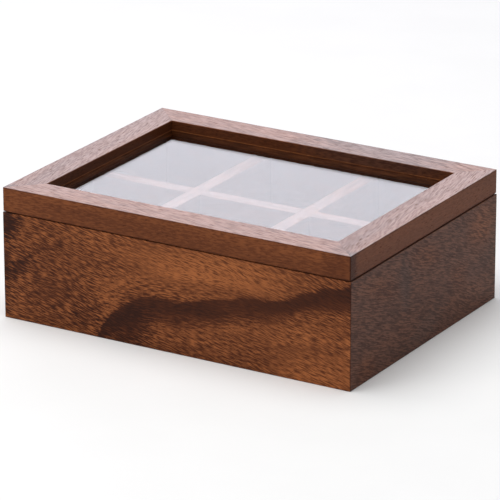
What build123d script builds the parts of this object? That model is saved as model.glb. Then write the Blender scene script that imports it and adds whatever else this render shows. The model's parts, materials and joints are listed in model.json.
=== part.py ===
from build123d import *
from collections import namedtuple
from math import radians, tan
import os

# A tea bag organizer box: a mitred hardwood box with crossed dividers, and a framed glass
# lid on two stop hinges. The lid is modelled shut.
#
# Frame: X runs along the front from left to right, Y runs to the back and Z up, in
# millimetres. The origin is the middle of the box's underside.

# ---------------------------------------------------------------------------------------
# Sizes
# ---------------------------------------------------------------------------------------

# Box
box_width = 240.0
box_depth = 180.0
wall_height = 68.0  # from the table to the rim
wall_thickness = 9.5
shadow_line_height = 0.65  # the step round the outside of the rim
shadow_line_depth = 1.5
bottom_thickness = 4.0
bottom_lap = 5.0  # width of the rabbet that holds the bottom board

# Dividers
divider_thickness = 9.5
divider_set_down = 1.5  # top of the dividers below the rim
housing_depth = 3.0  # how far the dividers are let into the walls
cross_divider_names = ["cross_divider_left", "cross_divider_right"]

# Lid frame, glass and the beads that hold the glass
lid_thickness = 15.0
lid_side_inset = 0.4  # from the ends of the box to the ends of the lid
rail_width = 19.3
pane_thickness = 2.2
pane_set_down = 6.4  # face of the glass below the lid's top
pane_lap = 6.0  # how far the glass reaches under the rails
bead_set_up = 1.6  # underside of the beads above the lid's underside
bead_set_back = 0.5  # face of the beads behind the rails' inner edge
bead_round = 2.5

# Eased edges
corner_round = 0.65  # upright outer corners
rim_arris = 0.3  # outer edge of the walls, under the shadow line
lid_arris = 0.5  # lower outer edge of the lid
top_arris = 0.3
inner_arris = 0.5
foot_arris = 0.5

# Hinges
hinge_length = 30.0
hinge_inset = 30.0  # from the end of the box to the end of the hinge
leaf_thickness = 2.6
leaf_shoulder = 2.0  # wood left between the leaf and the inside of the wall
open_angle = 95.0
knuckle_count = 5
heel_web = 0.7  # metal between the barrel and the outer face of a leaf
barrel_stand_off = 0.6  # from the back of the wood to the barrel
pin_radius = 0.9

# Hinge screws
screws_per_leaf = 2
screw_margin = 6.0  # from the end of a leaf to its outer screws
screw_length = 9.0
screw_radius = 1.1
screw_head_radius = 2.0
screw_point = 1.6  # length of the taper at the tip
slot_width = 0.5
slot_depth = 0.5
countersink_angle = 90.0

# Clearances
joint_gap = 0.1  # between pieces of wood that slide together
pane_gap = 0.5  # round the edge of the glass
mortise_gap = 0.1  # round a hinge leaf
pin_clearance = 0.05
barrel_clearance = 0.15  # between one leaf and the knuckles of the other
knuckle_gap = 0.2
stop_play = 0.25  # degrees left between each heel and the middle at the stop
screw_clearance = 0.05

# ---------------------------------------------------------------------------------------
# Sizes that follow
# ---------------------------------------------------------------------------------------

lid_width = box_width - 2 * lid_side_inset
inner_width = box_width - 2 * wall_thickness
divider_top = wall_height - divider_set_down
divider_height = divider_top - bottom_thickness
column_count = len(cross_divider_names) + 1
cross_divider_pitch = (inner_width + divider_thickness) / column_count
cross_divider_xs = [
    (index + 1) * cross_divider_pitch - (inner_width + divider_thickness) / 2
    for index in range(len(cross_divider_names))
]
housing_width = divider_thickness + 2 * joint_gap
housing_reach = housing_depth - joint_gap  # how far a divider goes into its housing

pane_top = wall_height + lid_thickness - pane_set_down
pane_bottom = pane_top - pane_thickness
pane_inset = rail_width - pane_lap  # from the side of the lid to the edge of the rabbet

knuckle_radius = leaf_thickness - heel_web
barrel_cut_radius = knuckle_radius + barrel_clearance
pin_y = box_depth / 2 + barrel_stand_off + knuckle_radius
leaf_reach = wall_thickness - leaf_shoulder
leaf_front = pin_y - box_depth / 2 + leaf_reach  # from the pin to the leaf's front edge
heel_back = leaf_thickness / tan(radians(open_angle / 2 + stop_play))
knuckle_pitch = hinge_length / knuckle_count
hinge_xs = {
    "left": hinge_inset + hinge_length / 2 - box_width / 2,
    "right": box_width / 2 - hinge_inset - hinge_length / 2,
}
screw_pitch = (hinge_length - 2 * screw_margin) / (screws_per_leaf - 1)
screw_y = box_depth / 2 - leaf_reach / 2

# ---------------------------------------------------------------------------------------
# The four sides of the box and of the lid, for the walls, the rails and the beads
# ---------------------------------------------------------------------------------------

# plan: X along the side, Y inwards, on the table. section: X inwards, Y up.
Side = namedtuple("Side", "plan section length reach")


def make_side(middle, along, length, reach):
    """The planes of one side, from the middle of its outer face and the way it runs."""
    inwards = Vector(0, 0, 1).cross(Vector(*along))
    return Side(
        plan=Plane(origin=middle, x_dir=along, z_dir=(0, 0, 1)),
        section=Plane(origin=middle, x_dir=inwards, z_dir=along),
        length=length,
        reach=reach,
    )


def make_sides(width, depth):
    """The four sides of a block that stands on the middle of the table."""
    return {
        "front": make_side((0, -depth / 2, 0), (1, 0, 0), width, depth),
        "back": make_side((0, depth / 2, 0), (-1, 0, 0), width, depth),
        "left": make_side((-width / 2, 0, 0), (0, -1, 0), depth, width),
        "right": make_side((width / 2, 0, 0), (0, 1, 0), depth, width),
    }


box_sides = make_sides(box_width, box_depth)
lid_sides = make_sides(lid_width, box_depth)


def mitred_plan(side, inset, width):
    """Plan of one member of a mitred frame: a trapezoid, rounded at the outer corners."""
    outer = side.length / 2 - inset
    inner = outer - width
    with BuildSketch(side.plan) as plan:
        with BuildLine():
            Polyline(
                (-outer, inset),
                (outer, inset),
                (inner, inset + width),
                (-inner, inset + width),
                close=True,
            )
        make_face()
        with Locations((0, side.reach / 2)):
            RectangleRounded(side.length, side.reach, corner_round, mode=Mode.INTERSECT)
    return plan.sketch


def corner(section, inwards, height):
    """The corner of a section nearest to a place in it."""
    return section.vertices().sort_by_distance((inwards, height, 0))[0]


# ---------------------------------------------------------------------------------------
# Hinge and screw places, shared by the leaves, the screws and the mortises
# ---------------------------------------------------------------------------------------


def hinge_plane(hinge_x):
    """Plane square to the pin at the middle of a hinge: X to the back, Y up."""
    return Plane(origin=(hinge_x, pin_y, wall_height), x_dir=(0, 1, 0), z_dir=(1, 0, 0))


def screw_seats(hinge_x, into):
    """Planes on a leaf's inner face, facing out of the wood. into is 1 for up, -1 for down."""
    first = hinge_x - screw_pitch * (screws_per_leaf - 1) / 2
    return [
        Plane(
            origin=(first + index * screw_pitch, screw_y, wall_height),
            x_dir=(1, 0, 0),
            z_dir=(0, 0, -into),
        )
        for index in range(screws_per_leaf)
    ]


def all_screw_seats(into):
    """The screw seats of both hinges."""
    return [seat for hinge_x in hinge_xs.values() for seat in screw_seats(hinge_x, into)]


def mortise_plan():
    """The two mortises, in plan at the rim, cut a little past the back of the wood."""
    with BuildSketch(Plane.XY.offset(wall_height)) as plan:
        for hinge_x in hinge_xs.values():
            with Locations((hinge_x, box_depth / 2 - leaf_reach - mortise_gap)):
                Rectangle(
                    hinge_length + 2 * mortise_gap,
                    2 * leaf_reach,
                    align=(Align.CENTER, Align.MIN),
                )
    return plan.sketch


# ---------------------------------------------------------------------------------------
# Box
# ---------------------------------------------------------------------------------------


def make_wall(name):
    """One mitred wall, rabbeted for the bottom board, housed for the divider ends and
    stepped back under the lid."""
    side = box_sides[name]
    housings = cross_divider_xs if name in ("front", "back") else [0]
    with BuildPart() as wall:
        with BuildSketch(side.section) as section:
            Rectangle(wall_thickness, wall_height, align=(Align.MIN, Align.MIN))
            with Locations((wall_thickness, 0)):
                Rectangle(
                    bottom_lap,
                    bottom_thickness,
                    align=(Align.MAX, Align.MIN),
                    mode=Mode.SUBTRACT,
                )
            with Locations((0, wall_height)):
                Rectangle(
                    shadow_line_depth,
                    shadow_line_height,
                    align=(Align.MIN, Align.MAX),
                    mode=Mode.SUBTRACT,
                )
            fillet(
                corner(section, 0, wall_height - shadow_line_height), radius=rim_arris
            )
            fillet(corner(section, wall_thickness, wall_height), radius=inner_arris)
            fillet(corner(section, 0, 0), radius=foot_arris)
        extrude(amount=side.length / 2, both=True)
        extrude(
            mitred_plan(side, 0, wall_thickness), amount=wall_height, mode=Mode.INTERSECT
        )
        with BuildSketch(side.plan.offset(bottom_thickness)):
            for place in housings:
                with Locations((place, wall_thickness - housing_depth)):
                    Rectangle(
                        housing_width,
                        2 * housing_depth,
                        align=(Align.CENTER, Align.MIN),
                    )
        extrude(amount=divider_height + joint_gap, mode=Mode.SUBTRACT)
        if name == "back":
            extrude(mortise_plan(), amount=-leaf_thickness, mode=Mode.SUBTRACT)
            with Locations(*all_screw_seats(into=-1)):
                Hole(screw_radius + screw_clearance, depth=screw_length + joint_gap)
    wall.part.label = f"{name}_panel"
    return wall.part


def make_bottom_panel():
    """The bottom board, flush with the walls' lower edges."""
    rabbet_inset = wall_thickness - bottom_lap + joint_gap
    with BuildPart() as bottom_panel:
        with BuildSketch():
            Rectangle(box_width - 2 * rabbet_inset, box_depth - 2 * rabbet_inset)
        extrude(amount=bottom_thickness)
    bottom_panel.part.label = "bottom_panel"
    return bottom_panel.part


def divider_blank(across, run):
    """Section of a divider on a plane with Y up, and the length it is extruded to."""
    with BuildSketch(across) as section:
        with Locations((0, bottom_thickness)):
            Rectangle(
                divider_thickness, divider_height, align=(Align.CENTER, Align.MIN)
            )
        for edge in (-1, 1):
            fillet(
                corner(section, edge * divider_thickness / 2, divider_top),
                radius=inner_arris,
            )
    return section.sketch, run / 2 - wall_thickness + housing_reach


def make_long_divider():
    """The divider along the box, notched from above for the cross dividers."""
    section, half_length = divider_blank(Plane.YZ, box_width)
    with BuildPart() as long_divider:
        extrude(section, amount=half_length, both=True)
        with BuildSketch(Plane.XY.offset(divider_top)):
            for place in cross_divider_xs:
                with Locations((place, 0)):
                    Rectangle(housing_width, 2 * divider_thickness)
        extrude(amount=-(divider_height + joint_gap) / 2, mode=Mode.SUBTRACT)
    long_divider.part.label = "long_divider"
    return long_divider.part


def make_cross_divider(name, place):
    """A divider across the box, notched from below to lap over the long one."""
    across = Plane(origin=(place, 0, 0), x_dir=(-1, 0, 0), z_dir=(0, 1, 0))
    section, half_length = divider_blank(across, box_depth)
    with BuildPart() as cross_divider:
        extrude(section, amount=half_length, both=True)
        with BuildSketch(Plane.XY.offset(bottom_thickness)):
            with Locations((place, 0)):
                Rectangle(2 * divider_thickness, housing_width)
        extrude(amount=(divider_height + joint_gap) / 2, mode=Mode.SUBTRACT)
    cross_divider.part.label = name
    return cross_divider.part


# ---------------------------------------------------------------------------------------
# Lid
# ---------------------------------------------------------------------------------------


def make_rail(name, label):
    """One mitred member of the lid's frame, rabbeted from below for the glass."""
    side = lid_sides[name]
    lid_top = wall_height + lid_thickness
    with BuildPart() as rail:
        with BuildSketch(side.section) as section:
            with Locations((0, wall_height)):
                Rectangle(rail_width, lid_thickness, align=(Align.MIN, Align.MIN))
            with Locations((rail_width, pane_top)):
                Rectangle(
                    pane_lap,
                    lid_thickness,
                    align=(Align.MAX, Align.MAX),
                    mode=Mode.SUBTRACT,
                )
            fillet(corner(section, 0, wall_height), radius=lid_arris)
            fillet(corner(section, 0, lid_top), radius=top_arris)
            fillet(corner(section, rail_width, lid_top), radius=inner_arris)
        extrude(amount=side.length / 2, both=True)
        extrude(mitred_plan(side, 0, rail_width), amount=lid_top, mode=Mode.INTERSECT)
        if name == "back":
            extrude(mortise_plan(), amount=leaf_thickness, mode=Mode.SUBTRACT)
            with Locations(*all_screw_seats(into=1)):
                Hole(screw_radius + screw_clearance, depth=screw_length + joint_gap)
    rail.part.label = label
    return rail.part


def make_glass_pane():
    """The glass, held between the rails' lips and the beads."""
    with BuildPart() as glass_pane:
        with BuildSketch(Plane.XY.offset(pane_bottom)):
            Rectangle(
                lid_width - 2 * (pane_inset + pane_gap),
                box_depth - 2 * (pane_inset + pane_gap),
            )
        extrude(amount=pane_thickness)
    glass_pane.part.label = "glass_pane"
    return glass_pane.part


def make_bead(name):
    """One mitred bead under the glass, rounded on its free corner."""
    side = lid_sides[name]
    bead_width = pane_lap - bead_set_back
    bead_bottom = wall_height + bead_set_up
    with BuildPart() as bead:
        with BuildSketch(side.section) as section:
            with Locations((pane_inset, bead_bottom)):
                Rectangle(
                    bead_width, pane_bottom - bead_bottom, align=(Align.MIN, Align.MIN)
                )
            fillet(corner(section, pane_inset + bead_width, bead_bottom), bead_round)
        extrude(amount=side.length / 2, both=True)
        extrude(
            mitred_plan(side, pane_inset, bead_width),
            amount=pane_bottom,
            mode=Mode.INTERSECT,
        )
    bead.part.label = f"bead_{name}"
    return bead.part


# ---------------------------------------------------------------------------------------
# Hinges
# ---------------------------------------------------------------------------------------


def knuckle_planes(hinge_x, first):
    """Planes at the middles of every second knuckle, from the one numbered first."""
    middle = (knuckle_count - 1) / 2
    return [
        hinge_plane(hinge_x).offset((index - middle) * knuckle_pitch)
        for index in range(first, knuckle_count, 2)
    ]


def make_leaf(label, hinge_x, rise, first):
    """One leaf of a stop hinge. rise is 1 for the lid's leaf, which lies above the pin's
    height, and -1 for the box's leaf. Its heel runs on past the pin and ends in a face that
    meets the other leaf's heel when the lid is open."""
    with BuildPart() as leaf:
        with BuildSketch(hinge_plane(hinge_x)):
            with BuildLine():
                Polyline(
                    (-leaf_front, 0),
                    (-leaf_front, rise * leaf_thickness),
                    (heel_back, rise * leaf_thickness),
                    (0, 0),
                    close=True,
                )
            make_face()
        extrude(amount=hinge_length / 2, both=True)
        with Locations(*knuckle_planes(hinge_x, 1 - first)):
            Cylinder(barrel_cut_radius, knuckle_pitch, mode=Mode.SUBTRACT)
        with Locations(*knuckle_planes(hinge_x, first)):
            Cylinder(knuckle_radius, knuckle_pitch - knuckle_gap)
        with Locations(hinge_plane(hinge_x)):
            Cylinder(
                pin_radius + pin_clearance, 2 * hinge_length, mode=Mode.SUBTRACT
            )
        with Locations(*screw_seats(hinge_x, into=rise)):
            CounterSinkHole(
                screw_radius + screw_clearance,
                screw_head_radius + screw_clearance,
                depth=2 * leaf_thickness,
                counter_sink_angle=countersink_angle,
            )
    leaf.part.label = label
    return leaf.part


def make_pin(label, hinge_x):
    """The hinge pin, flush with the ends of the barrel."""
    with BuildPart() as pin:
        with Locations(hinge_plane(hinge_x)):
            Cylinder(pin_radius, hinge_length)
    pin.part.label = label
    return pin.part


def make_screws(label, into):
    """The countersunk slotted screws of the leaves on one side of the joint."""
    head_height = (screw_head_radius - screw_radius) / tan(radians(countersink_angle / 2))
    with BuildPart() as screw:
        with BuildSketch(Plane.XZ):
            with BuildLine():
                Polyline(
                    (0, 0),
                    (screw_head_radius, 0),
                    (screw_radius, -head_height),
                    (screw_radius, screw_point - screw_length),
                    (0, -screw_length),
                    close=True,
                )
            make_face()
        revolve(axis=Axis.Z)
        with BuildSketch():
            Rectangle(2 * screw_head_radius, slot_width)
        extrude(amount=-slot_depth, mode=Mode.SUBTRACT)
    with BuildPart() as screws:
        with Locations(*all_screw_seats(into)):
            add(screw.part)
    screws.part.label = label
    return screws.part


# ---------------------------------------------------------------------------------------
# Assembly
# ---------------------------------------------------------------------------------------

parts = [make_wall(name) for name in box_sides]
parts += [make_bottom_panel(), make_long_divider()]
for divider_name, divider_x in zip(cross_divider_names, cross_divider_xs):
    parts.append(make_cross_divider(divider_name, divider_x))

parts += [
    make_rail("front", "lid_front_rail"),
    make_rail("back", "lid_back_rail"),
    make_rail("left", "lid_left_stile"),
    make_rail("right", "lid_right_stile"),
    make_glass_pane(),
]
parts += [make_bead(name) for name in lid_sides]

for hand, middle_x in hinge_xs.items():
    parts.append(make_leaf(f"box_leaf_{hand}", middle_x, rise=-1, first=0))
    parts.append(make_leaf(f"lid_leaf_{hand}", middle_x, rise=1, first=1))
    parts.append(make_pin(f"hinge_pin_{hand}", middle_x))
parts += [
    make_screws("box_leaf_screws", into=-1),
    make_screws("lid_leaf_screws", into=1),
]

os.makedirs("parts", exist_ok=True)
for part in parts:
    export_step(part, f"parts/{part.label}.step")
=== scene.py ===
"""The looks of a tea bag organizer box: a mitred hardwood box with a hinged glass lid."""

import json
import math
from collections import namedtuple

import bpy
from mathutils import Euler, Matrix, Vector

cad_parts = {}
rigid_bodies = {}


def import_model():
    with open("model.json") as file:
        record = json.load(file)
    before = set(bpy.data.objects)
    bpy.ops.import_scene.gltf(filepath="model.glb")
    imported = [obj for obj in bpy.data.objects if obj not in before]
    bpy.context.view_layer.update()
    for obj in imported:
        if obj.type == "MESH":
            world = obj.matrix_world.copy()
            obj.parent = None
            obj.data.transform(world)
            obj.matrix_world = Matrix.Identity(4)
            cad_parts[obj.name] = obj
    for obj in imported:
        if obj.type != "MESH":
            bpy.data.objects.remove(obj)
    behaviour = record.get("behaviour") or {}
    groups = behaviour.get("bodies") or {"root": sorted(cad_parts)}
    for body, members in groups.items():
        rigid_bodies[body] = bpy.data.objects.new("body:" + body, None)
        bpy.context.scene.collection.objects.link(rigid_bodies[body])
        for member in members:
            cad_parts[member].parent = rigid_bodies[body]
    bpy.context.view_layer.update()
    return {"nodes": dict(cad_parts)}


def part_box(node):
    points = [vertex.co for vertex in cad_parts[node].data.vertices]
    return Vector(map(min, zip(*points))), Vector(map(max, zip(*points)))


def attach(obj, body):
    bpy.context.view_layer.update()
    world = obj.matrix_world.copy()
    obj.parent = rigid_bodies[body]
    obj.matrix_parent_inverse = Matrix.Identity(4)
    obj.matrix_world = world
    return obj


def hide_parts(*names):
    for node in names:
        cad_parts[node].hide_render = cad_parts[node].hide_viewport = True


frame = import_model()
nodes = frame["nodes"]

bl_info = {
    "name": "Tea Bag Organizer Box",
    "version": (1, 0, 0),
    "blender": (4, 5, 0),
    "location": "View3D > Sidebar > Tea Box",
    "description": "Finishes the wood, glass and brass of a lidded box, and lights it",
    "category": "Object",
}

MM = 0.001
FLOOR_SIZE = 8.0  # in metres
SENSOR_WIDTH = 36.0  # of the camera, in millimetres

# Places read from the frame
box_corner = Vector(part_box("right_panel")[1])
lid_corner = Vector(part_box("lid_right_stile")[1])
rim_height = box_corner.z
lid_top = lid_corner.z
rail_width = lid_corner.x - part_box("lid_right_stile")[0].x
wall_width = box_corner.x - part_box("right_panel")[0].x
pane_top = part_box("glass_pane")[1].z

VECTOR = "NodeSocketVector"
VALUE = "NodeSocketFloat"


# ---------------------------------------------------------------------------------------
# Settings
# ---------------------------------------------------------------------------------------


class WoodSettings(bpy.types.PropertyGroup):
    """The colours and grain of the hardwood."""

    pale: bpy.props.FloatVectorProperty(
        name="Pale figure",
        description="Lightest colour of the figure",
        subtype="COLOR",
        default=(0.37, 0.121, 0.039),
    )
    middle: bpy.props.FloatVectorProperty(
        name="Middle figure",
        description="Commonest colour of the figure",
        subtype="COLOR",
        default=(0.135, 0.040, 0.014),
    )
    dark: bpy.props.FloatVectorProperty(
        name="Dark figure",
        description="Colour of the dark flecks",
        subtype="COLOR",
        default=(0.066, 0.018, 0.007),
    )
    heart: bpy.props.FloatVectorProperty(
        name="Heartwood",
        description="Colour of the darkest bands",
        subtype="COLOR",
        default=(0.030, 0.009, 0.005),
    )
    ash: bpy.props.FloatVectorProperty(
        name="Ash",
        description="Grey-brown that cools some of the boards",
        subtype="COLOR",
        default=(0.085, 0.046, 0.036),
    )
    pore_depth: bpy.props.FloatProperty(
        name="Pore depth",
        description="Depth of the open pores",
        unit="LENGTH",
        default=0.12 * MM,
    )
    mitre_line: bpy.props.FloatProperty(
        name="Mitre line",
        description="Width of the glue line at each mitre",
        unit="LENGTH",
        default=0.35 * MM,
    )
    wear_reach: bpy.props.FloatProperty(
        name="Wear reach",
        description="How far the wear of an edge reaches",
        unit="LENGTH",
        default=1.2 * MM,
    )
    # Sill: the strength of a painted highlight, a pale strip painted on the wood just above the
    # glass.
    sill: bpy.props.FloatProperty(
        name="Sill",
        description="How much paler the bare wood is just above the glass",
        default=0.42,
    )
    gloss: bpy.props.FloatProperty(
        name="Gloss",
        description="Specular level of the oiled wood",
        subtype="FACTOR",
        default=0.08,
    )
    polish_roughness: bpy.props.FloatProperty(
        name="Polish roughness",
        description="Roughness of the polish on upward faces",
        subtype="FACTOR",
        default=0.3,
    )


class GlassSettings(bpy.types.PropertyGroup):
    """The pane in the lid."""

    seam: bpy.props.FloatProperty(
        name="Seamed edge",
        description="Width of the ground edge round the pane",
        unit="LENGTH",
        default=0.35 * MM,
    )
    tint: bpy.props.FloatVectorProperty(
        name="Tint",
        description="Colour of the glass",
        subtype="COLOR",
        default=(0.95, 0.96, 0.96),
    )
    ior: bpy.props.FloatProperty(
        name="Refraction", description="Index of refraction", default=1.52
    )


class BrassSettings(bpy.types.PropertyGroup):
    """The hinges and their screws."""

    brass: bpy.props.FloatVectorProperty(
        name="Brass",
        description="Colour of the clean metal",
        subtype="COLOR",
        default=(0.74, 0.52, 0.22),
    )
    tarnish: bpy.props.FloatVectorProperty(
        name="Tarnish",
        description="Colour of the metal in its hollows",
        subtype="COLOR",
        default=(0.36, 0.22, 0.09),
    )


class StageSettings(bpy.types.PropertyGroup):
    """The camera, the lights and the floor."""

    azimuth: bpy.props.FloatProperty(
        name="Azimuth",
        description="Camera's turn from the middle of the front towards the right end",
        subtype="ANGLE",
        default=math.radians(30.876),
    )
    elevation: bpy.props.FloatProperty(
        name="Elevation",
        description="Camera's angle above the floor",
        subtype="ANGLE",
        default=math.radians(19.914),
    )
    roll: bpy.props.FloatProperty(
        name="Roll",
        description="Camera's turn about its own line of sight",
        subtype="ANGLE",
        default=math.radians(-0.097),
    )
    distance: bpy.props.FloatProperty(
        name="Distance",
        description="From the camera to the point it looks at",
        unit="LENGTH",
        default=2.4539,
    )
    target: bpy.props.FloatVectorProperty(
        name="Target",
        description="The point that the camera looks at",
        subtype="TRANSLATION",
        default=(-0.00098, 0.0, 0.03686),
    )
    lens: bpy.props.FloatProperty(
        name="Lens",
        description="Focal length in millimetres on a sensor 36 mm wide",
        default=291.56,
    )
    room_light: bpy.props.FloatProperty(
        name="Room light", description="Light from all around", default=0.42
    )
    softbox_power: bpy.props.FloatProperty(
        name="Softbox power",
        description="Power of the large softbox behind the box",
        subtype="POWER",
        default=5.0,
    )
    softbox_colour: bpy.props.FloatVectorProperty(
        name="Softbox colour",
        description="Colour of the light behind the box",
        subtype="COLOR",
        default=(1.0, 0.97, 1.16),
    )
    top_power: bpy.props.FloatProperty(
        name="Top power",
        description="Power of the large lamp overhead",
        subtype="POWER",
        default=28.0,
    )
    fill_power: bpy.props.FloatProperty(
        name="Fill power",
        description="Power of the lamp in front and to the left",
        subtype="POWER",
        default=5.0,
    )
    floor_colour: bpy.props.FloatVectorProperty(
        name="Floor colour",
        description="Colour of the floor",
        subtype="COLOR",
        default=(0.88, 0.88, 0.88),
    )


# ---------------------------------------------------------------------------------------
# Node helpers
# ---------------------------------------------------------------------------------------


class NodeSheet:
    """Adds nodes to one tree. A value given to a node may be a number or another's output."""

    def __init__(self, tree):
        self.tree = tree

    def feed(self, socket, value):
        """Links an output to the socket, or sets the socket to a plain value."""
        if isinstance(value, bpy.types.NodeSocket):
            self.tree.links.new(value, socket)
        else:
            socket.default_value = value

    def add(self, kind, feeds=None, **settings):
        """A new node, with its properties set and its inputs fed."""
        node = self.tree.nodes.new("ShaderNode" + kind)
        for name, value in settings.items():
            setattr(node, name, value)
        for socket, value in (feeds or {}).items():
            self.feed(node.inputs[socket], value)
        return node

    def math(self, operation, *terms):
        node = self.add("Math", operation=operation)
        for socket, term in zip(node.inputs, terms):
            self.feed(socket, term)
        return node.outputs[0]

    def total(self, *terms):
        """The sum of two or more values."""
        so_far = terms[0]
        for term in terms[1:]:
            so_far = self.math("ADD", so_far, term)
        return so_far

    def times(self, value, factor):
        return self.math("MULTIPLY", value, factor)

    def blend(self, factor, low, high):
        """A value between low and high."""
        node = self.add("Mix", data_type="FLOAT", clamp_factor=True)
        self.feed(node.inputs[0], factor)
        self.feed(node.inputs[2], low)
        self.feed(node.inputs[3], high)
        return node.outputs[0]

    def tint(self, factor, low, high, mode="MIX"):
        """A colour between low and high."""
        node = self.add("Mix", data_type="RGBA", blend_type=mode, clamp_factor=True)
        self.feed(node.inputs[0], factor)
        self.feed(node.inputs[6], low)
        self.feed(node.inputs[7], high)
        return node.outputs[2]

    def rise(self, value, start, end, low=0.0, high=1.0):
        """Goes smoothly from low to high as the value goes from start to end."""
        node = self.add("MapRange", interpolation_type="SMOOTHSTEP")
        for socket, term in zip(node.inputs, (value, start, end, low, high)):
            self.feed(socket, term)
        return node.outputs[0]

    def split(self, vector):
        """The X, Y and Z outputs of a vector."""
        return self.add("SeparateXYZ", {0: vector}).outputs

    def join(self, x, y, z):
        return self.add("CombineXYZ", {0: x, 1: y, 2: z}).outputs[0]

    def scaled(self, vector, factors):
        """A vector with each of its parts multiplied by its own factor."""
        node = self.add("VectorMath", {0: vector, 1: factors}, operation="MULTIPLY")
        return node.outputs[0]

    def noise(self, vector, scale=1.0, detail=2.0, roughness=0.5, distortion=0.0):
        """Soft noise from 0 to 1, its values mostly near the middle."""
        feeds = {
            "Vector": vector,
            "Scale": scale,
            "Detail": detail,
            "Roughness": roughness,
            "Distortion": distortion,
        }
        return self.add("TexNoise", feeds).outputs["Fac"]

    def group(self, group, **feeds):
        """Places a node group. Its inputs are named in lower case with underscores."""
        node = self.add("Group", node_tree=group)
        for name, value in feeds.items():
            self.feed(node.inputs[name.replace("_", " ").title()], value)
        return node.outputs


def opaque(colour):
    """A colour as a socket takes it."""
    return (*colour, 1.0)


def new_group(name, takes, gives):
    """A node group with its sheet, its inputs by name and the node of its outputs."""
    group = bpy.data.node_groups.new(name, "ShaderNodeTree")
    for label, (kind, value) in takes.items():
        socket = group.interface.new_socket(label, in_out="INPUT", socket_type=kind)
        socket.default_value = value
    for label in gives:
        group.interface.new_socket(label, in_out="OUTPUT", socket_type=VALUE)
    sheet = NodeSheet(group)
    taken = group.nodes.new("NodeGroupInput").outputs
    given = group.nodes.new("NodeGroupOutput").inputs
    return group, sheet, taken, given


# ---------------------------------------------------------------------------------------
# Node groups of the wood
# ---------------------------------------------------------------------------------------


def interlocked_grain():
    """Short flecks that climb or fall along the board, and the open pores among them."""
    group, sheet, taken, given = new_group(
        "Interlocked Grain",
        takes={
            "Position": (VECTOR, (0, 0, 0)),
            "Slope": (VECTOR, (0, 0, 0)),
            "Wave": (VECTOR, (0, 0, 0)),
            "Fleck Length": (VALUE, 7 * MM),
            "Fleck Width": (VALUE, 1 * MM),
        },
        gives=("Flecks", "Pores"),
    )
    waves_per_metre = (14, 26, 26)  # fewer along the board than across it
    wave = sheet.noise(sheet.scaled(taken["Position"], waves_per_metre), detail=1)
    wave = sheet.rise(wave, 0.25, 0.75, -1, 1)
    x, y, z = sheet.split(taken["Position"])
    _, slope_y, slope_z = sheet.split(taken["Slope"])
    _, wave_y, wave_z = sheet.split(taken["Wave"])

    def lines(height, slope, reach):
        climb = sheet.total(sheet.times(x, slope), sheet.times(wave, reach))
        return sheet.math("DIVIDE", sheet.math("SUBTRACT", height, climb), taken["Fleck Width"])

    place = sheet.join(
        sheet.math("DIVIDE", x, taken["Fleck Length"]),
        lines(y, slope_y, wave_y),
        lines(z, slope_z, wave_z),
    )
    flecks = sheet.noise(place, detail=2, roughness=0.5)
    sheet.feed(given["Flecks"], sheet.rise(flecks, 0.34, 0.66))
    pores = sheet.noise(place, scale=1.6, detail=0)
    sheet.feed(given["Pores"], sheet.rise(pores, 0.62, 0.8))
    return group


def growth_bands():
    """Broad paler and darker bands that run with the board."""
    group, sheet, taken, given = new_group(
        "Growth Bands",
        takes={
            "Position": (VECTOR, (0, 0, 0)),
            "Band Length": (VALUE, 120 * MM),
            "Band Width": (VALUE, 12 * MM),
        },
        gives=("Bands",),
    )
    x, y, z = sheet.split(taken["Position"])
    place = sheet.join(
        sheet.math("DIVIDE", x, taken["Band Length"]),
        sheet.math("DIVIDE", y, taken["Band Width"]),
        sheet.math("DIVIDE", z, taken["Band Width"]),
    )
    bands = sheet.noise(place, detail=3, roughness=0.55, distortion=0.35)
    sheet.feed(given["Bands"], sheet.rise(bands, 0.3, 0.7))
    return group


def figure_patch():
    """An oval patch in a board's face, with a ragged edge."""
    group, sheet, taken, given = new_group(
        "Figure Patch",
        takes={
            "Along": (VALUE, 0.0),
            "Height": (VALUE, 0.0),
            "Middle Along": (VALUE, 0.0),
            "Middle Height": (VALUE, 0.0),
            "Half Length": (VALUE, 10 * MM),
            "Half Height": (VALUE, 10 * MM),
            "Slope": (VALUE, 0.0),
            "Rag": (VALUE, 0.0),
        },
        gives=("Patch",),
    )
    away = sheet.math("SUBTRACT", taken["Along"], taken["Middle Along"])
    level = sheet.math("SUBTRACT", taken["Height"], taken["Middle Height"])
    level = sheet.math("SUBTRACT", level, sheet.times(away, taken["Slope"]))
    away = sheet.math("DIVIDE", away, taken["Half Length"])
    level = sheet.math("DIVIDE", level, taken["Half Height"])
    reach = sheet.math("SQRT", sheet.total(sheet.times(away, away), sheet.times(level, level)))
    reach = sheet.total(reach, taken["Rag"])
    sheet.feed(given["Patch"], sheet.rise(reach, 0.35, 1.15, 1, 0))
    return group


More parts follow.
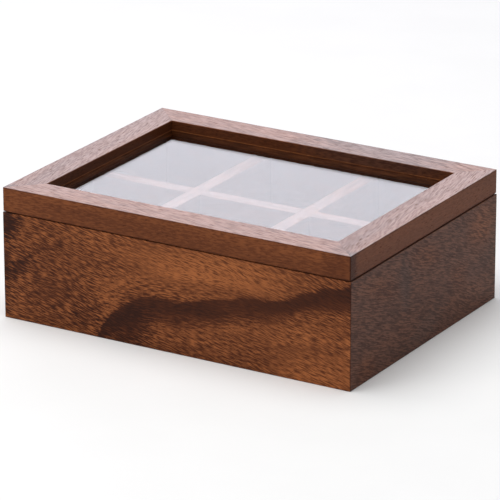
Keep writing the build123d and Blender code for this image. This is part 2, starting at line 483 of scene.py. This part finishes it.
def worn_arrises():
    """The outer edges of a block that stands on the middle of the floor."""
    group, sheet, taken, given = new_group(
        "Worn Arrises",
        takes={
            "Position": (VECTOR, (0, 0, 0)),
            "Half Width": (VALUE, box_corner.x),
            "Half Depth": (VALUE, box_corner.y),
            "Bottom": (VALUE, 0.0),
            "Top": (VALUE, lid_top),
            "Reach": (VALUE, 1.5 * MM),
        },
        gives=("Wear",),
    )
    x, y, z = sheet.split(taken["Position"])
    to_end = sheet.math("SUBTRACT", taken["Half Width"], sheet.math("ABSOLUTE", x))
    to_face = sheet.math("SUBTRACT", taken["Half Depth"], sheet.math("ABSOLUTE", y))
    to_level = sheet.math(
        "MINIMUM",
        sheet.math("SUBTRACT", z, taken["Bottom"]),
        sheet.math("SUBTRACT", taken["Top"], z),
    )
    nearer = sheet.math("MINIMUM", to_end, to_face)
    further = sheet.math("MAXIMUM", to_end, to_face)
    second = sheet.math("MAXIMUM", nearer, sheet.math("MINIMUM", further, to_level))
    rub = sheet.noise(taken["Position"], scale=90, detail=3)
    reach = sheet.times(taken["Reach"], sheet.rise(rub, 0.3, 0.7, 0.25, 1.2))
    sheet.feed(given["Wear"], sheet.rise(second, 0.0, reach, 1, 0))
    return group


def mitre_line():
    """The glue line where two members meet at 45 degrees in a corner."""
    group, sheet, taken, given = new_group(
        "Mitre Line",
        takes={
            "Position": (VECTOR, (0, 0, 0)),
            "Half Width": (VALUE, box_corner.x),
            "Half Depth": (VALUE, box_corner.y),
            "Line Width": (VALUE, 0.3 * MM),
        },
        gives=("Line",),
    )
    x, y, _ = sheet.split(taken["Position"])
    to_end = sheet.math("SUBTRACT", taken["Half Width"], sheet.math("ABSOLUTE", x))
    to_face = sheet.math("SUBTRACT", taken["Half Depth"], sheet.math("ABSOLUTE", y))
    off_line = sheet.math("ABSOLUTE", sheet.math("SUBTRACT", to_end, to_face))
    sheet.feed(given["Line"], sheet.rise(off_line, 0.0, taken["Line Width"], 1, 0))
    return group


def inner_shade_and_sill_highlight():
    """The inner faces of a mitred frame and what lies within it, for painted shade, and the
    strip of those faces just above the glass, for a painted highlight.
    """
    group, sheet, taken, given = new_group(
        "Inner Faces",
        takes={
            "Position": (VECTOR, (0, 0, 0)),
            "Half Width": (VALUE, lid_corner.x),
            "Half Depth": (VALUE, lid_corner.y),
            "Width": (VALUE, rail_width),
            "Top": (VALUE, lid_top),
            "Sill": (VALUE, pane_top),
        },
        gives=("Inner", "Sill"),
    )
    x, y, z = sheet.split(taken["Position"])
    to_end = sheet.math("SUBTRACT", taken["Half Width"], sheet.math("ABSOLUTE", x))
    to_face = sheet.math("SUBTRACT", taken["Half Depth"], sheet.math("ABSOLUTE", y))
    inwards = sheet.math("SUBTRACT", sheet.math("MINIMUM", to_end, to_face), taken["Width"])
    # Painted shade: everything inside the frame, from a little below its top down, is marked to
    # be darker, as if in shade.
    inner = sheet.rise(inwards, -0.6 * MM, -0.1 * MM)
    down = sheet.math("SUBTRACT", taken["Top"], z)
    inner = sheet.times(inner, sheet.rise(down, 0.2 * MM, 0.6 * MM))
    sheet.feed(given["Inner"], inner)
    # Painted highlight: a pale strip on the inner faces just above the glass, standing in for
    # the light line at the glass edge.
    up = sheet.math("SUBTRACT", z, taken["Sill"])
    sheet.feed(given["Sill"], sheet.times(inner, sheet.rise(up, 0.2 * MM, 0.7 * MM, 1, 0)))
    return group


# The dark band of the front panel, as its upper and its lower edge: millimetres along the
# panel from its middle, and above the table.
BAND_TOP = (
    (-60, -14),
    (-50, 7),
    (-42, 19),
    (-33, 26),
    (-20, 30.5),
    (-3, 33),
    (23, 40),
    (57, 45.5),
    (83, 53),
    (103, 60),
    (120, 67),
)
BAND_BOTTOM = (
    (-60, -19),
    (-48, 0),
    (-38, 9),
    (-26, 14),
    (-12, 17),
    (3, 19),
    (23, 24),
    (57, 32),
    (90, 42),
    (120, 49),
)
# The lowest and the highest place that the edges may have, in millimetres
CURVE_LOW, CURVE_HIGH = -20.0, 80.0


def height_curve(sheet, along, points):
    """The height of a line drawn on a panel, in metres, from places in millimetres."""
    start, end = -box_corner.x, box_corner.x
    share = sheet.add("MapRange", {0: along, 1: start, 2: end}).outputs[0]
    node = sheet.add("FloatCurve", {"Value": share})
    curve = node.mapping.curves[0]
    places = [
        ((x * MM - start) / (end - start), (z - CURVE_LOW) / (CURVE_HIGH - CURVE_LOW))
        for x, z in points
    ]
    for spot in places[2:]:
        curve.points.new(*spot)
    for point, spot in zip(sorted(curve.points, key=lambda p: p.location.x), sorted(places)):
        point.location = spot
    node.mapping.update()
    height = sheet.add("MapRange", {0: node.outputs[0], 3: CURVE_LOW * MM, 4: CURVE_HIGH * MM})
    return height.outputs[0]


def heart_band():
    """The dark band that sweeps up the front panel, sharp above and soft below."""
    group, sheet, taken, given = new_group(
        "Heart Band",
        takes={"Position": (VECTOR, (0, 0, 0)), "Rag": (VALUE, 0.0)},
        gives=("Band", "Above"),
    )
    x, _, z = sheet.split(taken["Position"])
    drift = sheet.noise(sheet.scaled(taken["Position"], (30, 30, 90)), detail=2)
    drift = sheet.rise(drift, 0.3, 0.7, -2 * MM, 2 * MM)
    z = sheet.total(z, drift, sheet.times(taken["Rag"], 1 * MM))
    from_top = sheet.math("SUBTRACT", height_curve(sheet, x, BAND_TOP), z)
    from_bottom = sheet.math("SUBTRACT", z, height_curve(sheet, x, BAND_BOTTOM))
    under = sheet.rise(from_top, -1 * MM, 2 * MM)
    over = sheet.rise(from_bottom, -5 * MM, 9 * MM)
    sheet.feed(given["Band"], sheet.times(under, over))
    sheet.feed(given["Above"], sheet.rise(from_top, -14 * MM, 0.0, 1, 0))
    return group


def smears():
    """Faint smears and specks on a wiped surface."""
    group, sheet, taken, given = new_group(
        "Smears",
        takes={"Position": (VECTOR, (0, 0, 0))},
        gives=("Smears", "Specks"),
    )
    wiped = sheet.noise(sheet.scaled(taken["Position"], (18, 40, 18)), detail=4, distortion=0.6)
    sheet.feed(given["Smears"], sheet.rise(wiped, 0.35, 0.7))
    specks = sheet.noise(taken["Position"], scale=900, detail=0)
    sheet.feed(given["Specks"], sheet.rise(specks, 0.8, 0.86))
    return group


def drawn_metal():
    """Fine scratches along the metal, and the tarnish that gathers on it."""
    group, sheet, taken, given = new_group(
        "Drawn Metal",
        takes={"Position": (VECTOR, (0, 0, 0))},
        gives=("Scratches", "Tarnish"),
    )
    scratches = sheet.noise(sheet.scaled(taken["Position"], (300, 6000, 6000)), detail=3)
    sheet.feed(given["Scratches"], sheet.rise(scratches, 0.35, 0.65))
    tarnish = sheet.noise(taken["Position"], scale=260, detail=4, roughness=0.6)
    sheet.feed(given["Tarnish"], sheet.rise(tarnish, 0.42, 0.68))
    return group


GROUP_MAKERS = {
    "Interlocked Grain": interlocked_grain,
    "Growth Bands": growth_bands,
    "Figure Patch": figure_patch,
    "Worn Arrises": worn_arrises,
    "Mitre Line": mitre_line,
    "Inner Faces": inner_shade_and_sill_highlight,
    "Heart Band": heart_band,
    "Smears": smears,
    "Drawn Metal": drawn_metal,
}


def group_named(name):
    """The node group of that name, built the first time it is asked for."""
    return bpy.data.node_groups.get(name) or GROUP_MAKERS[name]()


# ---------------------------------------------------------------------------------------
# Materials
# ---------------------------------------------------------------------------------------

# A patch of the figure: place and size in millimetres along the board and above the table,
# its slope, how much paler (above 0) or darker (below 0) it is, and how much greyer.
Patch = namedtuple(
    "Patch", "along height half_length half_height slope tone ash", defaults=(0.0,)
)

FRONT_PATCHES = (
    Patch(-116, 61, 9, 12, 0.0, -0.55),
    Patch(-120, 36, 8, 40, 0.0, -0.22),
    Patch(-109, 34, 13, 7, 0.6, -0.32),
    Patch(-84, 52, 26, 4, 0.35, -0.12),
    Patch(-84, 22, 34, 15, 0.1, -0.12),
    Patch(-60, 14, 13, 11, 0.5, -0.18),
    Patch(-78, 6, 40, 9, 0.1, -0.06),
    Patch(-31, 9, 21, 16, 0.3, -0.31),
    Patch(-82, 30, 48, 44, 0.0, -0.06),
    Patch(28, 57, 66, 15, 0.05, 0.25),
    Patch(-45, 62, 45, 9, 0.0, 0.06),
    Patch(43, 39, 26, 6, 0.2, 0.09),
    Patch(36, 13, 46, 11, 0.0, 0.07),
    Patch(96, 8, 34, 14, 0.1, 0.20),
    Patch(84, 27, 34, 9, 0.2, 0.13),
    Patch(119, 22, 5, 24, 0.0, 0.1),
)
RIGHT_PATCHES = (
    Patch(-53, 51, 24, 9, -0.3, 0.02, -0.2),
    Patch(0, 56, 22, 11, -0.3, 0.02, -0.24),
    Patch(70, 53, 22, 18, 0.0, 0.14, -0.2),
    Patch(42, 28, 15, 11, -0.2, 0.04, -0.2),
    Patch(-71, 8, 15, 8, 0.0, 0.02, -0.2),
    Patch(-25, 46, 8, 20, -0.4, -0.2, 0.14),
    Patch(0, 10, 30, 10, 0.25, 0.02, 0.22),
    Patch(56, 12, 32, 14, 0.1, 0.14, 0.06),
)
# The right end of the front rail, and the end of the right stile beside it
FRONT_RAIL_PATCHES = (Patch(112, 75, 12, 20, 0.0, -0.1),)
STILE_PATCHES = (Patch(-90, 75, 9, 30, 0.0, -0.28),)
# A greyer stretch of the back rail
BACK_RAIL_PATCHES = (Patch(45, 83, 60, 12, 0.0, -0.08, 0.4),)

# Where the front panel's grain lies flatter, as a place in its face
FLATTER_GRAIN = Patch(10, 34, 75, 24, 0.12, 0.0)

# The tone of the wood runs from 0, the heartwood, to 1, its palest figure. This is how
# much each effect adds to it or takes from it.
GROWTH_TONE = 0.12
HEART_TONE = -0.42
ABOVE_HEART_TONE = 0.06
PORE_TONE = -0.12
WEAR_TONE = -0.2
MITRE_TONE = -0.12
# Painted shade inside the lid frame and the box, as if those recesses lay in shade.
INNER_SHADE_TONE = -0.09
# Painted sheen: the lid's upward faces are made paler, as if lit by the sheen on them.
TOP_SHEEN_TONE = 0.1

# How one kind of board looks. members: the CAD nodes that it is for. turn: the way its
# grain runs, from the X axis, in degrees. shift: where its pattern starts, in mm. slope and
# wave: how steeply the flecks climb over the top and over the face of the board, and how far
# they wave, in mm. fleck: length and width of a fleck, in mm. contrast: how much the flecks
# change the tone. ash: how grey it is, from 0 to 1. band: whether the heart band crosses it.
# second_slope: the slope where its grain lies flatter. polish: how much its top is polished.
Wood = namedtuple(
    "Wood",
    "name members turn shift slope wave fleck contrast tone ash patches band second_slope"
    " polish",
    defaults=(0, (0, 0, 0), (0, 0), (0, 0), (7, 1), 0.4, 0.5, 0.0, (), False, 0.0, 0.0),
)


def grain_layer(sheet, look, place, slope):
    """One layer of flecks and pores."""
    length, width = look.fleck
    wave_y, wave_z = look.wave
    return sheet.group(
        group_named("Interlocked Grain"),
        position=place,
        slope=(0, look.slope[0], slope),
        wave=(0, wave_y * MM, wave_z * MM),
        fleck_length=length * MM,
        fleck_width=width * MM,
    )


def patch_mask(sheet, patch, along, height, rag):
    """1 in the middle of a patch and 0 outside it."""
    return sheet.group(
        group_named("Figure Patch"),
        along=along,
        height=height,
        middle_along=patch.along * MM,
        middle_height=patch.height * MM,
        half_length=patch.half_length * MM,
        half_height=patch.half_height * MM,
        slope=patch.slope,
        rag=rag,
    )["Patch"]


def wood_tone(sheet, look, place, upward):
    """How pale and how grey the wood is at each point, with its flecks and pores."""
    falling = grain_layer(sheet, look, place, look.slope[1])
    flecks, pores = falling["Flecks"], falling["Pores"]
    bands = sheet.group(group_named("Growth Bands"), position=place)["Bands"]
    tone = sheet.total(look.tone, sheet.times(sheet.math("SUBTRACT", bands, 0.5), GROWTH_TONE))
    x, _, z = sheet.split(place)
    contrast = look.contrast
    if look.band:
        rising = grain_layer(sheet, look, place, look.second_slope)
        rag = sheet.math("SUBTRACT", falling["Flecks"], 0.5)
        band = sheet.group(group_named("Heart Band"), position=place, rag=rag)
        swap = patch_mask(sheet, FLATTER_GRAIN, x, z, sheet.times(rag, 0.3))
        swap = sheet.rise(swap, 0.4, 0.6)
        flecks = sheet.blend(swap, falling["Flecks"], rising["Flecks"])
        pores = sheet.blend(swap, falling["Pores"], rising["Pores"])
        tone = sheet.total(
            tone,
            sheet.times(band["Band"], HEART_TONE),
            sheet.times(band["Above"], ABOVE_HEART_TONE),
        )
        contrast = sheet.blend(band["Band"], look.contrast, 0.6 * look.contrast)
    streaks = sheet.times(sheet.math("SUBTRACT", flecks, 0.5), contrast)
    ash = look.ash
    along = sheet.math("SUBTRACT", x, look.shift[0] * MM)
    height = sheet.math("SUBTRACT", z, look.shift[2] * MM)
    for patch in look.patches:
        mask = patch_mask(sheet, patch, along, height, sheet.times(streaks, 0.9))
        tone = sheet.total(tone, sheet.times(mask, patch.tone))
        if patch.ash:
            ash = sheet.total(ash, sheet.times(mask, patch.ash))
    # The paler the wood, the more its flecks stand out.
    streaks = sheet.times(streaks, sheet.rise(tone, 0.1, 0.8, 0.6, 1.0))
    if look.polish:
        # The polished tops show their figure more than the edges do.
        streaks = sheet.times(streaks, sheet.rise(upward, 0.0, 1.0, 0.62, 1.0))
    tone = sheet.total(tone, streaks, sheet.times(pores, PORE_TONE))
    return tone, ash, flecks, pores


def wood_ramp(sheet, settings, tone):
    """The colour of the wood for how pale it is."""
    ramp = sheet.add("ValToRGB", {0: tone})
    elements = ramp.color_ramp.elements
    for spot, colour in ((0.3, settings.dark), (0.55, settings.middle)):
        elements.new(spot).color = opaque(colour)
    elements[0].color = opaque(settings.heart)
    elements[-1].color = opaque(settings.pale)
    return ramp.outputs[0]


def make_wood(look):
    """Oiled hardwood for boards that share a direction of grain."""
    settings = bpy.context.scene.tea_box_wood
    material = bpy.data.materials.new(look.name)
    material.use_nodes = True
    sheet = NodeSheet(material.node_tree)
    shader = material.node_tree.nodes["Principled BSDF"]
    position = sheet.add("TexCoord").outputs["Object"]
    place = sheet.add(
        "Mapping",
        {
            "Vector": position,
            "Location": tuple(shift * MM for shift in look.shift),
            "Rotation": (0, 0, math.radians(look.turn)),
        },
    ).outputs[0]
    upward = sheet.split(sheet.add("TexCoord").outputs["Normal"])["Z"]
    upward = sheet.rise(upward, 0.8, 0.95)
    tone, ash, flecks, pores = wood_tone(sheet, look, place, upward)
    lid = look.name.startswith("lid")
    corner = lid_corner if lid else box_corner
    wear = sheet.group(
        group_named("Worn Arrises"),
        position=position,
        half_width=corner.x,
        half_depth=corner.y,
        bottom=rim_height if lid else 0.0,
        top=corner.z,
        reach=settings.wear_reach,
    )["Wear"]
    line = sheet.group(
        group_named("Mitre Line"),
        position=position,
        half_width=corner.x,
        half_depth=corner.y,
        line_width=settings.mitre_line,
    )["Line"]
    tone = sheet.total(tone, sheet.times(wear, WEAR_TONE), sheet.times(line, MITRE_TONE))
    inner = sheet.group(
        group_named("Inner Faces"),
        position=position,
        half_width=corner.x,
        half_depth=corner.y,
        width=rail_width if lid else wall_width,
        top=corner.z,
        sill=pane_top,
    )
    # Painted shade: darker inside the frame, as if in shade there.
    tone = sheet.total(tone, sheet.times(inner["Inner"], INNER_SHADE_TONE))
    # Painted sheen: the lid's upward faces are paler. Painted highlight: a pale strip just
    # above the glass.
    if lid:
        tone = sheet.total(
            tone,
            sheet.times(upward, TOP_SHEEN_TONE),
            sheet.times(inner["Sill"], settings.sill),
        )
    shade = sheet.total(0.6, sheet.times(flecks, 0.8))
    grey = sheet.tint(1.0, opaque(settings.ash), shade, mode="MULTIPLY")
    colour = sheet.tint(ash, wood_ramp(sheet, settings, tone), grey)
    sheet.feed(shader.inputs["Base Color"], colour)
    roughness = sheet.total(
        0.42,
        sheet.times(flecks, -0.06),
        sheet.times(pores, 0.25),
        sheet.times(wear, 0.08),
    )
    sheet.feed(shader.inputs["Roughness"], roughness)
    shader.inputs["Specular IOR Level"].default_value = settings.gloss
    if look.polish:
        polish = sheet.total(
            0.61,
            sheet.times(flecks, 0.48),
            sheet.times(pores, -0.5),
            sheet.times(line, -0.15),
        )
        polish = sheet.times(polish, sheet.times(upward, look.polish))
        sheet.feed(shader.inputs["Coat Weight"], polish)
        shader.inputs["Coat Roughness"].default_value = settings.polish_roughness
    height = sheet.total(sheet.times(flecks, 0.25), sheet.times(pores, -1.0))
    height = sheet.total(height, sheet.times(line, -0.6))
    bump = sheet.add(
        "Bump", {"Strength": 0.5, "Distance": settings.pore_depth, "Height": height}
    )
    sheet.feed(shader.inputs["Normal"], bump.outputs[0])
    return material


def make_glass():
    """Clear glass that lets lamp light and scattered light through to the inside."""
    settings = bpy.context.scene.tea_box_glass
    material = bpy.data.materials.new("clear_glass")
    material.use_nodes = True
    sheet = NodeSheet(material.node_tree)
    shader = material.node_tree.nodes["Principled BSDF"]
    position = sheet.add("TexCoord").outputs["Object"]
    dust = sheet.group(group_named("Smears"), position=position)
    roughness = sheet.total(
        sheet.times(dust["Smears"], 0.012), sheet.times(dust["Specks"], 0.05)
    )
    sheet.feed(shader.inputs["Roughness"], roughness)
    shader.inputs["Base Color"].default_value = opaque(settings.tint)
    shader.inputs["IOR"].default_value = settings.ior
    shader.inputs["Transmission Weight"].default_value = 1.0
    path = sheet.add("LightPath").outputs
    lit_through = sheet.math("MAXIMUM", path["Is Shadow Ray"], path["Is Diffuse Ray"])
    clear = sheet.add("BsdfTransparent", {"Color": opaque(settings.tint)})
    mix = sheet.add(
        "MixShader", {0: lit_through, 1: shader.outputs[0], 2: clear.outputs[0]}
    )
    sheet.feed(material.node_tree.nodes["Material Output"].inputs["Surface"], mix.outputs[0])
    return material


def make_brass(name, roughness):
    """Satin metal with fine scratches and a little tarnish."""
    settings = bpy.context.scene.tea_box_brass
    material = bpy.data.materials.new(name)
    material.use_nodes = True
    sheet = NodeSheet(material.node_tree)
    shader = material.node_tree.nodes["Principled BSDF"]
    position = sheet.add("TexCoord").outputs["Object"]
    metal = sheet.group(group_named("Drawn Metal"), position=position)
    colour = sheet.tint(
        sheet.times(metal["Tarnish"], 0.6),
        opaque(settings.brass),
        opaque(settings.tarnish),
    )
    sheet.feed(shader.inputs["Base Color"], colour)
    shader.inputs["Metallic"].default_value = 1.0
    sheet.feed(
        shader.inputs["Roughness"],
        sheet.total(
            roughness,
            sheet.times(metal["Scratches"], 0.12),
            sheet.times(metal["Tarnish"], 0.15),
        ),
    )
    bump = sheet.add(
        "Bump",
        {"Strength": 0.3, "Distance": 0.02 * MM, "Height": metal["Scratches"]},
    )
    sheet.feed(shader.inputs["Normal"], bump.outputs[0])
    return material


def dress(material, *names):
    """Gives a material to CAD nodes."""
    for name in names:
        node = nodes[name]
        node.data.materials.clear()
        node.data.materials.append(material)


# ---------------------------------------------------------------------------------------
# Modelling helpers
# ---------------------------------------------------------------------------------------


def deselect_all():
    """Leaves nothing selected, so that the next operator acts on its own piece alone."""
    for shown in bpy.context.view_layer.objects:
        shown.select_set(False)


def add_block(name, low, high):
    """A block between two corners, with its place in its mesh."""
    deselect_all()
    middle = (Vector(low) + Vector(high)) / 2
    bpy.ops.mesh.primitive_cube_add(size=1, location=middle, scale=Vector(high) - Vector(low))
    block = bpy.context.object
    block.name = block.data.name = name
    bpy.ops.object.transform_apply(location=True, rotation=True, scale=True)
    return block


def ease_edges(width):
    """Bevels every edge of the active piece."""
    bpy.ops.object.mode_set(mode="EDIT")
    bpy.ops.mesh.select_all(action="SELECT")
    bpy.ops.mesh.bevel(offset=width, offset_type="OFFSET", segments=2, affect="EDGES")
    bpy.ops.mesh.select_all(action="SELECT")
    bpy.ops.mesh.normals_make_consistent(inside=False)
    bpy.ops.object.mode_set(mode="OBJECT")


# ---------------------------------------------------------------------------------------
# Operators, one for each group of pieces
# ---------------------------------------------------------------------------------------


class TEABOX_OT_walls(bpy.types.Operator):
    """Finish the four mitred walls"""

    bl_idname = "tea_box.walls"
    bl_label = "Walls"

    def execute(self, context):
        looks = (
            Wood(
                "box_front_wood",
                ("front_panel",),
                slope=(0, -0.24),
                second_slope=-0.04,
                wave=(0, 1.8),
                fleck=(5.5, 0.72),
                contrast=0.66,
                tone=0.56,
                patches=FRONT_PATCHES,
                band=True,
            ),
            Wood(
                "box_right_wood",
                ("right_panel",),
                turn=-90,
                slope=(0, -0.38),
                wave=(0, 1.6),
                fleck=(5, 0.7),
                contrast=0.46,
                tone=0.43,
                ash=0.52,
                patches=RIGHT_PATCHES,
            ),
            Wood(
                "box_back_wood",
                ("back_panel",),
                shift=(610, 0, 40),
                slope=(0, -0.18),
                wave=(0, 1.6),
                ash=0.1,
            ),
            Wood(
                "box_left_wood",
                ("left_panel",),
                turn=-90,
                shift=(370, 0, 90),
                slope=(0, -0.3),
                wave=(0, 1.6),
                tone=0.48,
                ash=0.2,
            ),
        )
        for look in looks:
            dress(make_wood(look), *look.members)
        return {"FINISHED"}


class TEABOX_OT_bottom(bpy.types.Operator):
    """Finish the bottom board"""

    bl_idname = "tea_box.bottom"
    bl_label = "Bottom Board"

    def execute(self, context):
        look = Wood(
            "box_bottom_wood",
            ("bottom_panel",),
            shift=(140, 260, 0),
            slope=(0.06, 0),
            wave=(1, 0),
            tone=0.55,
            ash=0.1,
        )
        dress(make_wood(look), *look.members)
        return {"FINISHED"}


class TEABOX_OT_dividers(bpy.types.Operator):
    """Finish the crossed dividers"""

    bl_idname = "tea_box.dividers"
    bl_label = "Dividers"

    def execute(self, context):
        divider = Wood(
            "divider_long_wood",
            ("long_divider",),
            shift=(820, 30, 20),
            slope=(0.05, 0.05),
            wave=(0.5, 0.5),
            fleck=(14, 1.2),
            tone=0.6,
            polish=0.55,
        )
        cross = divider._replace(
            name="divider_cross_wood",
            members=("cross_divider_left", "cross_divider_right"),
            turn=-90,
            shift=(930, 60, 20),
        )
        for look in (divider, cross):
            dress(make_wood(look), *look.members)
        return {"FINISHED"}


class TEABOX_OT_lid_frame(bpy.types.Operator):
    """Finish the mitred frame of the lid"""

    bl_idname = "tea_box.lid_frame"
    bl_label = "Lid Frame"

    def execute(self, context):
        front = Wood(
            "lid_front_wood",
            ("lid_front_rail",),
            shift=(250, 0, 0),
            slope=(-0.16, 0.03),
            wave=(0.8, 0.4),
            fleck=(9, 0.8),
            contrast=0.26,
            tone=0.58,
            patches=FRONT_RAIL_PATCHES,
            polish=1.0,
        )
        back = front._replace(
            name="lid_back_wood",
            members=("lid_back_rail",),
            shift=(710, 0, 0),
            patches=BACK_RAIL_PATCHES,
            polish=0.86,
        )
        stile = front._replace(
            name="lid_stile_wood",
            members=("lid_left_stile", "lid_right_stile"),
            turn=-90,
            shift=(480, 0, 0),
            slope=(0.17, -0.06),
            contrast=0.14,
            tone=0.5,
            patches=STILE_PATCHES,
        )
        for look in (front, back, stile):
            dress(make_wood(look), *look.members)
        return {"FINISHED"}


class TEABOX_OT_beads(bpy.types.Operator):
    """Finish the beads that hold the glass"""

    bl_idname = "tea_box.beads"
    bl_label = "Glazing Beads"

    def execute(self, context):
        long = Wood(
            "bead_long_wood", ("bead_front", "bead_back"), shift=(70, 15, 5), fleck=(14, 1.2)
        )
        short = long._replace(
            name="bead_short_wood",
            members=("bead_left", "bead_right"),
            turn=-90,
            shift=(90, 25, 5),
        )
        for look in (long, short):
            dress(make_wood(look), *look.members)
        return {"FINISHED"}


class TEABOX_OT_pane(bpy.types.Operator):
    """Cut the pane of glass and seam its edges"""

    bl_idname = "tea_box.pane"
    bl_label = "Pane"

    def execute(self, context):
        pane = add_block("pane_of_glass", *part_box("glass_pane"))
        ease_edges(context.scene.tea_box_glass.seam)
        pane.data.materials.append(make_glass())
        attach(pane, "lid")
        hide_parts("glass_pane")
        return {"FINISHED"}


class TEABOX_OT_hinges(bpy.types.Operator):
    """Finish the hinges and their screws"""

    bl_idname = "tea_box.hinges"
    bl_label = "Hinges"

    def execute(self, context):
        dress(
            make_brass("hinge_brass", 0.26),
            "box_leaf_left",
            "box_leaf_right",
            "lid_leaf_left",
            "lid_leaf_right",
        )
        dress(
            make_brass("screw_brass", 0.2),
            "hinge_pin_left",
            "hinge_pin_right",
            "box_leaf_screws",
            "lid_leaf_screws",
        )
        return {"FINISHED"}


def add_lamp(name, power, colour, size, direction, distance, target):
    """A rectangular lamp in some direction from its target, unseen by the camera."""
    deselect_all()
    towards = Vector(direction).normalized()
    place = Vector(target) + towards * distance
    bpy.ops.object.light_add(type="AREA", location=place)
    lamp = bpy.context.object
    lamp.name = name
    lamp.rotation_euler = towards.to_track_quat("Z", "Y").to_euler()
    lamp.data.shape = "RECTANGLE"
    lamp.data.size, lamp.data.size_y = size
    lamp.data.energy = power
    lamp.data.color = colour
    lamp.visible_camera = False


class TEABOX_OT_stage(bpy.types.Operator):
    """Set up the floor, the lights and the camera"""

    bl_idname = "tea_box.stage"
    bl_label = "Stage"

    def execute(self, context):
        settings = context.scene.tea_box_stage
        deselect_all()
        bpy.ops.mesh.primitive_plane_add(size=FLOOR_SIZE)
        floor = context.object
        floor.name = "studio_floor"
        floor.data.materials.append(self.floor_material(settings))
        self.room(context, settings)
        turn, lift = settings.azimuth, settings.elevation
        # back: from the target to the camera. mirrored: where the camera sees the glass
        # and the polished tops reflect.
        level = math.cos(lift)
        back = Vector((math.sin(turn) * level, -math.cos(turn) * level, math.sin(lift)))
        mirrored = Vector((-back.x, -back.y, back.z))
        add_lamp(
            "softbox_behind",
            power=settings.softbox_power,
            colour=settings.softbox_colour,
            size=(1.5, 1.1),
            direction=mirrored,
            distance=1.8,
            target=(0, 0, lid_top),
        )
        add_lamp(
            "lamp_overhead",
            power=settings.top_power,
            colour=(1, 1, 1),
            size=(1.6, 1.6),
            direction=(-0.15, -0.1, 1.0),
            distance=1.8,
            target=(0, 0, 0),
        )
        add_lamp(
            "fill_left",
            power=settings.fill_power,
            colour=(1.0, 0.97, 0.93),
            size=(0.9, 0.9),
            direction=(-0.5, -0.8, 0.25),
            distance=2.0,
            target=(0, 0, rim_height / 2),
        )
        deselect_all()
        bpy.ops.object.camera_add(location=Vector(settings.target) + back * settings.distance)
        camera = context.object
        camera.name = "photo_camera"
        facing = back.to_track_quat("Z", "Y")
        roll = Euler((0, 0, settings.roll)).to_quaternion()
        camera.rotation_euler = (facing @ roll).to_euler()
        camera.data.lens = settings.lens
        camera.data.sensor_width = SENSOR_WIDTH
        context.scene.camera = camera
        context.scene.view_settings.view_transform = "Standard"
        return {"FINISHED"}

    @staticmethod
    def floor_material(settings):
        """Matt white card with a faint mottle."""
        material = bpy.data.materials.new("floor_card")
        material.use_nodes = True
        sheet = NodeSheet(material.node_tree)
        shader = material.node_tree.nodes["Principled BSDF"]
        position = sheet.add("TexCoord").outputs["Object"]
        mottle = sheet.rise(sheet.noise(position, scale=14, detail=3), 0.3, 0.7, 0.985, 1.0)
        colour = sheet.tint(1.0, opaque(settings.floor_colour), mottle, mode="MULTIPLY")
        sheet.feed(shader.inputs["Base Color"], colour)
        shader.inputs["Roughness"].default_value = 0.9
        shader.inputs["Specular IOR Level"].default_value = 0.0
        return material

    @staticmethod
    def room(context, settings):
        """Light from all around for the object, and white for what is seen directly."""
        world = bpy.data.worlds.new("white_room")
        context.scene.world = world
        world.use_nodes = True
        sheet = NodeSheet(world.node_tree)
        path = sheet.add("LightPath").outputs
        seen = sheet.math("MAXIMUM", path["Is Camera Ray"], path["Is Glossy Ray"])
        seen = sheet.math("MAXIMUM", seen, path["Is Transmission Ray"])
        background = world.node_tree.nodes["Background"]
        background.inputs["Color"].default_value = (1, 1, 1, 1)
        sheet.feed(
            background.inputs["Strength"], sheet.blend(seen, settings.room_light, 1.0)
        )


PIECE_OPERATORS = (
    TEABOX_OT_stage,
    TEABOX_OT_walls,
    TEABOX_OT_bottom,
    TEABOX_OT_dividers,
    TEABOX_OT_lid_frame,
    TEABOX_OT_beads,
    TEABOX_OT_pane,
    TEABOX_OT_hinges,
)
# The names that the settings have on a scene
SETTINGS = {
    "tea_box_wood": WoodSettings,
    "tea_box_glass": GlassSettings,
    "tea_box_brass": BrassSettings,
    "tea_box_stage": StageSettings,
}


class TEABOX_PT_sidebar(bpy.types.Panel):
    """Lists the pieces of the box"""

    bl_idname = "TEABOX_PT_sidebar"
    bl_label = "Tea Bag Organizer Box"
    bl_space_type = "VIEW_3D"
    bl_region_type = "UI"
    bl_category = "Tea Box"

    def draw(self, context):
        for operator in PIECE_OPERATORS:
            self.layout.operator(operator.bl_idname)
        for settings in SETTINGS:
            group = getattr(context.scene, settings)
            box = self.layout.box()
            for name in group.__annotations__:
                box.prop(group, name)


def register():
    for name, settings in SETTINGS.items():
        bpy.utils.register_class(settings)
        setattr(bpy.types.Scene, name, bpy.props.PointerProperty(type=settings))
    for operator in PIECE_OPERATORS:
        bpy.utils.register_class(operator)
    bpy.utils.register_class(TEABOX_PT_sidebar)


def unregister():
    bpy.utils.unregister_class(TEABOX_PT_sidebar)
    for operator in reversed(PIECE_OPERATORS):
        bpy.utils.unregister_class(operator)
    for name, settings in SETTINGS.items():
        delattr(bpy.types.Scene, name)
        bpy.utils.unregister_class(settings)


def main():
    register()
    for operator in PIECE_OPERATORS:
        family, step = operator.bl_idname.split(".")
        getattr(getattr(bpy.ops, family), step)()


if __name__ == "__main__":
    main()
